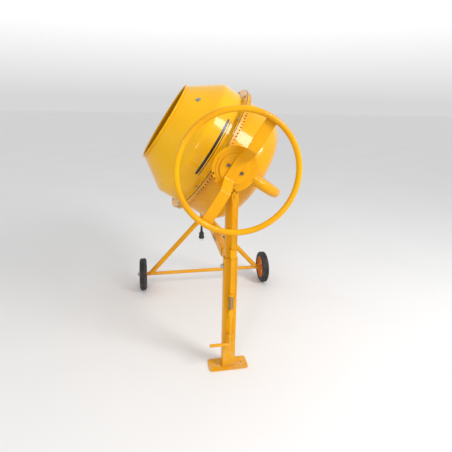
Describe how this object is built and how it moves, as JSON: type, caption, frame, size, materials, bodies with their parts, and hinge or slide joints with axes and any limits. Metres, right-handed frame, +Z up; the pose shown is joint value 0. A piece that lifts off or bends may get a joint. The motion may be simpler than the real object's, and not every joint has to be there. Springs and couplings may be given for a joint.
{
  "type": "tilting drum concrete mixer",
  "caption": "Site concrete mixer: tilting drum with a ring gear in a yoke, front handwheel and foot-released tilt lock, electric drive, stand on a foot plate and wheels.",
  "frame": {"origin": "centre of the foot plate's underside, on the ground", "axes": "+Z up; +Y back along the tilt axis from the handwheel to the motor; the drum's mouth points to -X and up"},
  "size_m": [0.868, 1.107, 1.2759],
  "materials": {
    "yellow_paint": "gloss enamel",
    "drum_paint": "gloss enamel",
    "gear_paint": "painted casting",
    "zinc": "bright zinc plate",
    "bare_steel": "machined, oiled",
    "aluminium": "cast",
    "tyre_rubber": "matt rubber",
    "hub_orange": "moulded",
    "black_plastic": "fine grain",
    "black_rubber": "satin",
    "green_plastic": "gloss",
    "red_plastic": "gloss",
    "nickel": "nickel plate"
  },
  "bodies": {
    "stand": {"foot_plate": "yellow_paint", "mast_sleeve": "yellow_paint", "mast": "yellow_paint", "front_bearing": "yellow_paint", "crossbar_front": "yellow_paint", "crossbar_rear": "yellow_paint", "frame_bolts": "zinc", "splice_knob": "black_plastic", "rear_upright": "yellow_paint", "rear_bearing": "yellow_paint", "axle_tube": "yellow_paint", "leg_left": "yellow_paint", "leg_right": "yellow_paint", "axle": "zinc", "axle_fasteners": "zinc", "bar_guide": "yellow_paint", "rod_guides": "yellow_paint", "housing_plate": "yellow_paint", "housing_cover": "yellow_paint", "motor": "aluminium", "motor_bracket": "bare_steel", "belt": "black_rubber", "switch_box": "black_plastic", "cable_gland": "black_plastic", "cord": "black_rubber", "plug_boot": "black_rubber", "plug": "black_plastic", "plug_pins": "nickel"},
    "tilt": {"yoke": "yellow_paint", "front_trunnion": "bare_steel", "rear_trunnion": "bare_steel", "lock_disc": "yellow_paint", "hub_plate": "yellow_paint", "handwheel_ring": "yellow_paint", "handwheel_spoke": "yellow_paint", "hub_bolts": "zinc", "drum_spindle": "bare_steel"},
    "drum": {"drum_cone": "drum_paint", "rim_bead": "drum_paint", "drum_bowl": "drum_paint", "ring_gear": "gear_paint", "flange_bolts": "zinc", "drum_hub": "bare_steel", "hub_cap": "bare_steel", "paddle_a": "bare_steel", "paddle_b": "bare_steel", "paddle_bolts": "zinc"},
    "pinion": {"pinion_shaft": "bare_steel", "drive_pulley": "aluminium"},
    "rotor": {"motor_pulley": "aluminium"},
    "wheel_left": {"tyre_left": "tyre_rubber", "wheel_hub_left": "hub_orange"},
    "wheel_right": {"tyre_right": "tyre_rubber", "wheel_hub_right": "hub_orange"},
    "lock": {"lock_bar": "yellow_paint", "lock_rod": "yellow_paint", "pedal": "yellow_paint", "lock_spring": "zinc"},
    "start_button": {"start_button": "green_plastic"},
    "stop_button": {"stop_button": "red_plastic"}
  },
  "joints": [
    {"name": "drum_tilt", "type": "hinge", "parent": "stand", "child": "tilt", "pos_m": [0, 0, 0.935], "axis": [0, 1, 0], "range_deg": [-90, 60]},
    {"name": "drum_spin", "type": "hinge", "parent": "tilt", "child": "drum", "pos_m": [0, 0.378, 0.935], "axis": [-0.848, 0, 0.5299], "continuous": true},
    {"name": "pinion_spin", "type": "hinge", "parent": "tilt", "child": "pinion", "pos_m": [0, 0.72, 0.935], "axis": [0, 1, 0], "continuous": true},
    {"name": "motor_spin", "type": "hinge", "parent": "stand", "child": "rotor", "pos_m": [0, 0.848, 0.745], "axis": [0, 1, 0], "continuous": true},
    {"name": "wheel_left_spin", "type": "hinge", "parent": "stand", "child": "wheel_left", "pos_m": [-0.397, 0.795, 0.1005], "axis": [1, 0, 0], "continuous": true},
    {"name": "wheel_right_spin", "type": "hinge", "parent": "stand", "child": "wheel_right", "pos_m": [0.397, 0.795, 0.1005], "axis": [1, 0, 0], "continuous": true},
    {"name": "lock_slide", "type": "slide", "parent": "stand", "child": "lock", "axis": [0, 0, 1], "range_m": [-0.006, 0.008], "stiffness_N_per_m": 2000, "springref_m": 0.0039, "deforming": ["lock_spring"]},
    {"name": "start_press", "type": "slide", "parent": "stand", "child": "start_button", "axis": [1, 0, 0], "range_m": [0, 0.004], "stiffness_N_per_m": 400},
    {"name": "stop_press", "type": "slide", "parent": "stand", "child": "stop_button", "axis": [1, 0, 0], "range_m": [0, 0.005], "stiffness_N_per_m": 400}
  ],
  "couplings": [
    {"joint": "pinion_spin", "follows": "drum_spin", "ratio": -8},
    {"joint": "motor_spin", "follows": "drum_spin", "ratio": -33.026}
  ]
}
